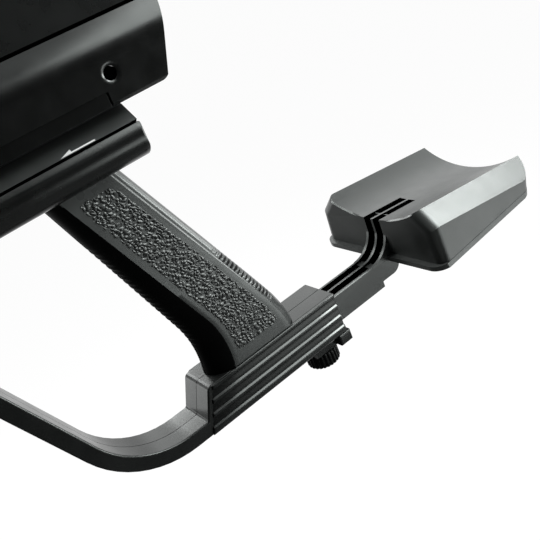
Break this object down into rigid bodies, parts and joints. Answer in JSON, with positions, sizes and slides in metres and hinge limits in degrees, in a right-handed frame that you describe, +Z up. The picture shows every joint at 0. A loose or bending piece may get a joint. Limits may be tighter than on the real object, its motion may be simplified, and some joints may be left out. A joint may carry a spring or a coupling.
{
  "type": "pistol-grip holder with forearm rest",
  "caption": "Hand-held holder with a raked pistol grip inside a full hand guard, a rear-loading device bay above and a clamped, slide-out arm carrying a forearm cradle below.",
  "frame": {"origin": "centre of the hand grip, on the mid-plane and half way up the grip", "axes": "+X to the rear, towards the forearm cradle; +Y to the right; +Z up, from the clamp housing to the bay"},
  "size_m": [0.3482, 0.0946, 0.2455],
  "materials": {
    "grip_shell": "satin black moulding with cross-ribbed straps",
    "grained_panel": "leather-grained black plastic",
    "frame_shell": "satin black moulding",
    "rib_plate": "satin black moulding with flutes",
    "deck_tray": "satin black moulding",
    "deck_cover": "satin dark grey moulding",
    "bay_shell": "satin black moulding",
    "roof_shell": "satin black moulding",
    "rail_strip": "matte black strip",
    "rubber": "matte black rubber",
    "beam": "satin black moulding",
    "cradle": "satin black moulding",
    "knob": "knurled black plastic",
    "steel": "zinc-plated steel",
    "brass": "plain brass"
  },
  "bodies": {
    "holder": {"grip_left": "grip_shell", "grip_right": "grip_shell", "grip_panel_left": "grained_panel", "grip_panel_right": "grained_panel", "frame_left": "frame_shell", "frame_right": "frame_shell", "rib_plate_left": "rib_plate", "rib_plate_right": "rib_plate", "deck_tray": "deck_tray", "deck_cover": "deck_cover", "bay_tray": "bay_shell", "roof": "roof_shell", "front_cap": "roof_shell", "side_rail_left": "rail_strip", "side_rail_right": "rail_strip", "bay_pads": "rubber", "grip_screws": "steel", "frame_screws": "steel", "deck_screws": "steel", "cap_screws": "steel", "bay_screws": "steel", "stop_pins": "steel", "clamp_nut": "steel"},
    "arm": {"arm_beam": "beam", "cradle": "cradle", "cradle_screws": "steel"},
    "shoe": {"clamp_shoe": "brass"},
    "knob": {"clamp_knob": "knob", "clamp_stud": "steel"}
  },
  "joints": [
    {"name": "arm_slide", "type": "slide", "parent": "holder", "child": "arm", "axis": [1, 0, 0], "range_m": [-0.03, 0.02]},
    {"name": "clamp_lift", "type": "slide", "parent": "holder", "child": "shoe", "axis": [0, 0, -1], "range_m": [0, 0.0015]},
    {"name": "knob_turn", "type": "hinge", "parent": "shoe", "child": "knob", "pos_m": [0.0552, 0, -0.0915], "axis": [0, 0, -1], "range_deg": [0, 540]}
  ],
  "couplings": [
    {"joint": "clamp_lift", "follows": "knob_turn", "m_per_rad": 0.000159}
  ]
}
